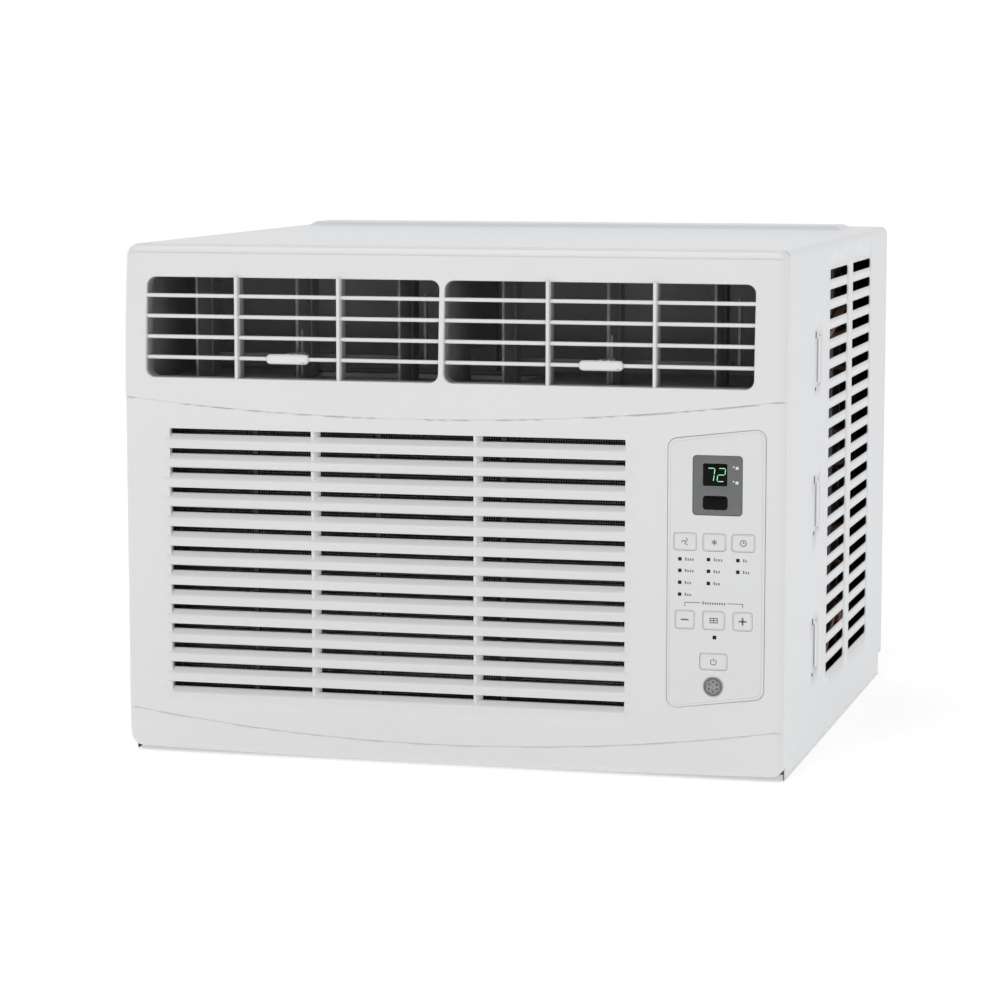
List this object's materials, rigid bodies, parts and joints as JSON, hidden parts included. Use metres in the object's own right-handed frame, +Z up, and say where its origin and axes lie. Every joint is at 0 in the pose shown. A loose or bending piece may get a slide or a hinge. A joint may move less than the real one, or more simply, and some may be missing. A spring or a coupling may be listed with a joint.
{
  "type": "window air conditioner",
  "caption": "Window room air conditioner with a louvred outlet over a slatted intake, a keypad with display at the right, vented steel sides and an open coil at the rear.",
  "frame": {"origin": "centre of the footprint, on the surface that the base pan stands on", "axes": "+X right seen from the room, +Y towards the outdoor end, +Z up"},
  "size_m": [0.457, 0.463, 0.353],
  "materials": {
    "white_plastic": "satin moulded ABS",
    "fascia": "smooth semi-gloss overlay",
    "button_plastic": "satin button caps",
    "display_bezel": "smooth grey display bezel",
    "circuit_board": "solder-masked board",
    "white_paint": "baked powder coat on sheet steel",
    "dark_plastic": "matt charcoal plastic",
    "gray_plastic": "matt grey plastic",
    "filter_frame": "matt plastic frame and net",
    "coil_fins": "bare aluminium fins",
    "galvanised_steel": "spangled zinc coating",
    "motor_steel": "dull painted motor shell",
    "capacitor_can": "drawn aluminium can",
    "black_enamel": "semi-gloss black enamel",
    "pan_enamel": "dark enamelled steel",
    "copper": "bare copper tube",
    "rubber": "matt black rubber",
    "foam": "expanded foam moulding",
    "shaft_steel": "ground steel"
  },
  "bodies": {
    "housing": {"front_panel": "white_plastic", "control_fascia": "fascia", "display_window": "display_bezel", "control_board": "circuit_board", "control_box": "galvanised_steel", "run_capacitor": "capacitor_can", "outlet_duct": "dark_plastic", "evaporator_coil": "coil_fins", "blower_scroll": "foam", "fan_motor": "motor_steel", "motor_bracket": "galvanised_steel", "bulkhead": "galvanised_steel", "fan_shroud": "dark_plastic", "condenser_coil": "coil_fins", "compressor": "black_enamel", "compressor_grommet_1": "rubber", "compressor_grommet_2": "rubber", "compressor_grommet_3": "rubber", "accumulator": "black_enamel", "suction_line": "copper", "discharge_line": "copper", "filter_drier": "copper", "capillary_tube": "copper", "base_pan": "pan_enamel", "cabinet": "white_paint", "cord_gland": "rubber"},
    "fan_assembly": {"blower_wheel": "dark_plastic", "motor_shaft": "shaft_steel", "condenser_fan": "dark_plastic"},
    "air_filter": {"air_filter": "filter_frame"},
    "fan_button": {"fan_button": "button_plastic"},
    "mode_button": {"mode_button": "button_plastic"},
    "delay_button": {"delay_button": "button_plastic"},
    "minus_button": {"minus_button": "button_plastic"},
    "filter_button": {"filter_button": "button_plastic"},
    "plus_button": {"plus_button": "button_plastic"},
    "power_button": {"power_button": "button_plastic"},
    "left_blade_1": {"left_blade_1": "white_plastic"},
    "left_blade_2": {"left_blade_2": "white_plastic"},
    "left_blade_3": {"left_blade_3": "white_plastic"},
    "left_blade_4": {"left_blade_4": "white_plastic"},
    "left_blade_link": {"left_blade_link": "dark_plastic"},
    "left_vane_1": {"left_vane_1": "dark_plastic"},
    "left_vane_2": {"left_vane_2": "dark_plastic"},
    "left_vane_3": {"left_vane_3": "dark_plastic"},
    "left_vane_link": {"left_vane_link": "gray_plastic"},
    "left_tab": {"left_tab": "white_plastic"},
    "right_blade_1": {"right_blade_1": "white_plastic"},
    "right_blade_2": {"right_blade_2": "white_plastic"},
    "right_blade_3": {"right_blade_3": "white_plastic"},
    "right_blade_4": {"right_blade_4": "white_plastic"},
    "right_blade_link": {"right_blade_link": "dark_plastic"},
    "right_vane_1": {"right_vane_1": "dark_plastic"},
    "right_vane_2": {"right_vane_2": "dark_plastic"},
    "right_vane_3": {"right_vane_3": "dark_plastic"},
    "right_vane_link": {"right_vane_link": "gray_plastic"},
    "right_tab": {"right_tab": "white_plastic"}
  },
  "joints": [
    {"name": "fan_spin", "type": "hinge", "parent": "housing", "child": "fan_assembly", "pos_m": [-0.04, 0, 0.15], "axis": [0, 1, 0], "continuous": true},
    {"name": "air_filter_slide", "type": "slide", "parent": "housing", "child": "air_filter", "axis": [-1, 0, 0], "range_m": [0, 0.34]},
    {"name": "fan_press", "type": "slide", "parent": "housing", "child": "fan_button", "axis": [0, 1, 0], "range_m": [0, 0.0008], "stiffness_N_per_m": 1200, "springref_m": -0.0003},
    {"name": "mode_press", "type": "slide", "parent": "housing", "child": "mode_button", "axis": [0, 1, 0], "range_m": [0, 0.0008], "stiffness_N_per_m": 1200, "springref_m": -0.0003},
    {"name": "delay_press", "type": "slide", "parent": "housing", "child": "delay_button", "axis": [0, 1, 0], "range_m": [0, 0.0008], "stiffness_N_per_m": 1200, "springref_m": -0.0003},
    {"name": "minus_press", "type": "slide", "parent": "housing", "child": "minus_button", "axis": [0, 1, 0], "range_m": [0, 0.0008], "stiffness_N_per_m": 1200, "springref_m": -0.0003},
    {"name": "filter_press", "type": "slide", "parent": "housing", "child": "filter_button", "axis": [0, 1, 0], "range_m": [0, 0.0008], "stiffness_N_per_m": 1200, "springref_m": -0.0003},
    {"name": "plus_press", "type": "slide", "parent": "housing", "child": "plus_button", "axis": [0, 1, 0], "range_m": [0, 0.0008], "stiffness_N_per_m": 1200, "springref_m": -0.0003},
    {"name": "power_press", "type": "slide", "parent": "housing", "child": "power_button", "axis": [0, 1, 0], "range_m": [0, 0.0008], "stiffness_N_per_m": 1200, "springref_m": -0.0003},
    {"name": "left_blade_1_tilt", "type": "hinge", "parent": "housing", "child": "left_blade_1", "pos_m": [-0.1115, -0.2255, 0.2737], "axis": [1, 0, 0], "range_deg": [-25, 25]},
    {"name": "left_blade_2_tilt", "type": "hinge", "parent": "housing", "child": "left_blade_2", "pos_m": [-0.1115, -0.2255, 0.28767], "axis": [1, 0, 0], "range_deg": [-25, 25]},
    {"name": "left_blade_3_tilt", "type": "hinge", "parent": "housing", "child": "left_blade_3", "pos_m": [-0.1115, -0.2255, 0.30164], "axis": [1, 0, 0], "range_deg": [-25, 25]},
    {"name": "left_blade_4_tilt", "type": "hinge", "parent": "housing", "child": "left_blade_4", "pos_m": [-0.1115, -0.2255, 0.31561], "axis": [1, 0, 0], "range_deg": [-25, 25]},
    {"name": "left_blade_link_swing", "type": "hinge", "parent": "left_blade_1", "child": "left_blade_link", "pos_m": [-0.1115, -0.216, 0.2737], "axis": [1, 0, 0], "range_deg": [-25, 25]},
    {"name": "left_vane_1_turn", "type": "hinge", "parent": "housing", "child": "left_vane_1", "pos_m": [-0.1835, -0.1763, 0.294], "axis": [0, 0, 1], "range_deg": [-35, 35]},
    {"name": "left_vane_2_turn", "type": "hinge", "parent": "housing", "child": "left_vane_2", "pos_m": [-0.1115, -0.1763, 0.294], "axis": [0, 0, 1], "range_deg": [-35, 35]},
    {"name": "left_vane_3_turn", "type": "hinge", "parent": "housing", "child": "left_vane_3", "pos_m": [-0.0395, -0.1763, 0.294], "axis": [0, 0, 1], "range_deg": [-35, 35]},
    {"name": "left_vane_link_swing", "type": "hinge", "parent": "left_vane_2", "child": "left_vane_link", "pos_m": [-0.1115, -0.1633, 0.2715], "axis": [0, 0, 1], "range_deg": [-35, 35]},
    {"name": "left_tab_slide", "type": "slide", "parent": "left_blade_1", "child": "left_tab", "axis": [1, 0, 0], "range_m": [-0.01705, 0.01705]},
    {"name": "right_blade_1_tilt", "type": "hinge", "parent": "housing", "child": "right_blade_1", "pos_m": [0.1048, -0.2255, 0.2737], "axis": [1, 0, 0], "range_deg": [-25, 25]},
    {"name": "right_blade_2_tilt", "type": "hinge", "parent": "housing", "child": "right_blade_2", "pos_m": [0.1048, -0.2255, 0.28767], "axis": [1, 0, 0], "range_deg": [-25, 25]},
    {"name": "right_blade_3_tilt", "type": "hinge", "parent": "housing", "child": "right_blade_3", "pos_m": [0.1048, -0.2255, 0.30164], "axis": [1, 0, 0], "range_deg": [-25, 25]},
    {"name": "right_blade_4_tilt", "type": "hinge", "parent": "housing", "child": "right_blade_4", "pos_m": [0.1048, -0.2255, 0.31561], "axis": [1, 0, 0], "range_deg": [-25, 25]},
    {"name": "right_blade_link_swing", "type": "hinge", "parent": "right_blade_1", "child": "right_blade_link", "pos_m": [0.1048, -0.216, 0.2737], "axis": [1, 0, 0], "range_deg": [-25, 25]},
    {"name": "right_vane_1_turn", "type": "hinge", "parent": "housing", "child": "right_vane_1", "pos_m": [0.0328, -0.1763, 0.294], "axis": [0, 0, 1], "range_deg": [-35, 35]},
    {"name": "right_vane_2_turn", "type": "hinge", "parent": "housing", "child": "right_vane_2", "pos_m": [0.1048, -0.1763, 0.294], "axis": [0, 0, 1], "range_deg": [-35, 35]},
    {"name": "right_vane_3_turn", "type": "hinge", "parent": "housing", "child": "right_vane_3", "pos_m": [0.1768, -0.1763, 0.294], "axis": [0, 0, 1], "range_deg": [-35, 35]},
    {"name": "right_vane_link_swing", "type": "hinge", "parent": "right_vane_2", "child": "right_vane_link", "pos_m": [0.1048, -0.1633, 0.2715], "axis": [0, 0, 1], "range_deg": [-35, 35]},
    {"name": "right_tab_slide", "type": "slide", "parent": "right_blade_1", "child": "right_tab", "axis": [1, 0, 0], "range_m": [-0.01705, 0.01705]}
  ],
  "couplings": [
    {"joint": "left_blade_2_tilt", "follows": "left_blade_1_tilt", "ratio": 1},
    {"joint": "left_blade_3_tilt", "follows": "left_blade_1_tilt", "ratio": 1},
    {"joint": "left_blade_4_tilt", "follows": "left_blade_1_tilt", "ratio": 1},
    {"joint": "left_blade_link_swing", "follows": "left_blade_1_tilt", "ratio": -1},
    {"joint": "left_vane_1_turn", "follows": "left_vane_2_turn", "ratio": 1},
    {"joint": "left_vane_3_turn", "follows": "left_vane_2_turn", "ratio": 1},
    {"joint": "left_vane_link_swing", "follows": "left_vane_2_turn", "ratio": -1},
    {"joint": "left_tab_slide", "follows": "left_vane_2_turn", "m_per_rad": 0.02783},
    {"joint": "right_blade_2_tilt", "follows": "right_blade_1_tilt", "ratio": 1},
    {"joint": "right_blade_3_tilt", "follows": "right_blade_1_tilt", "ratio": 1},
    {"joint": "right_blade_4_tilt", "follows": "right_blade_1_tilt", "ratio": 1},
    {"joint": "right_blade_link_swing", "follows": "right_blade_1_tilt", "ratio": -1},
    {"joint": "right_vane_1_turn", "follows": "right_vane_2_turn", "ratio": 1},
    {"joint": "right_vane_3_turn", "follows": "right_vane_2_turn", "ratio": 1},
    {"joint": "right_vane_link_swing", "follows": "right_vane_2_turn", "ratio": -1},
    {"joint": "right_tab_slide", "follows": "right_vane_2_turn", "m_per_rad": 0.02783}
  ]
}
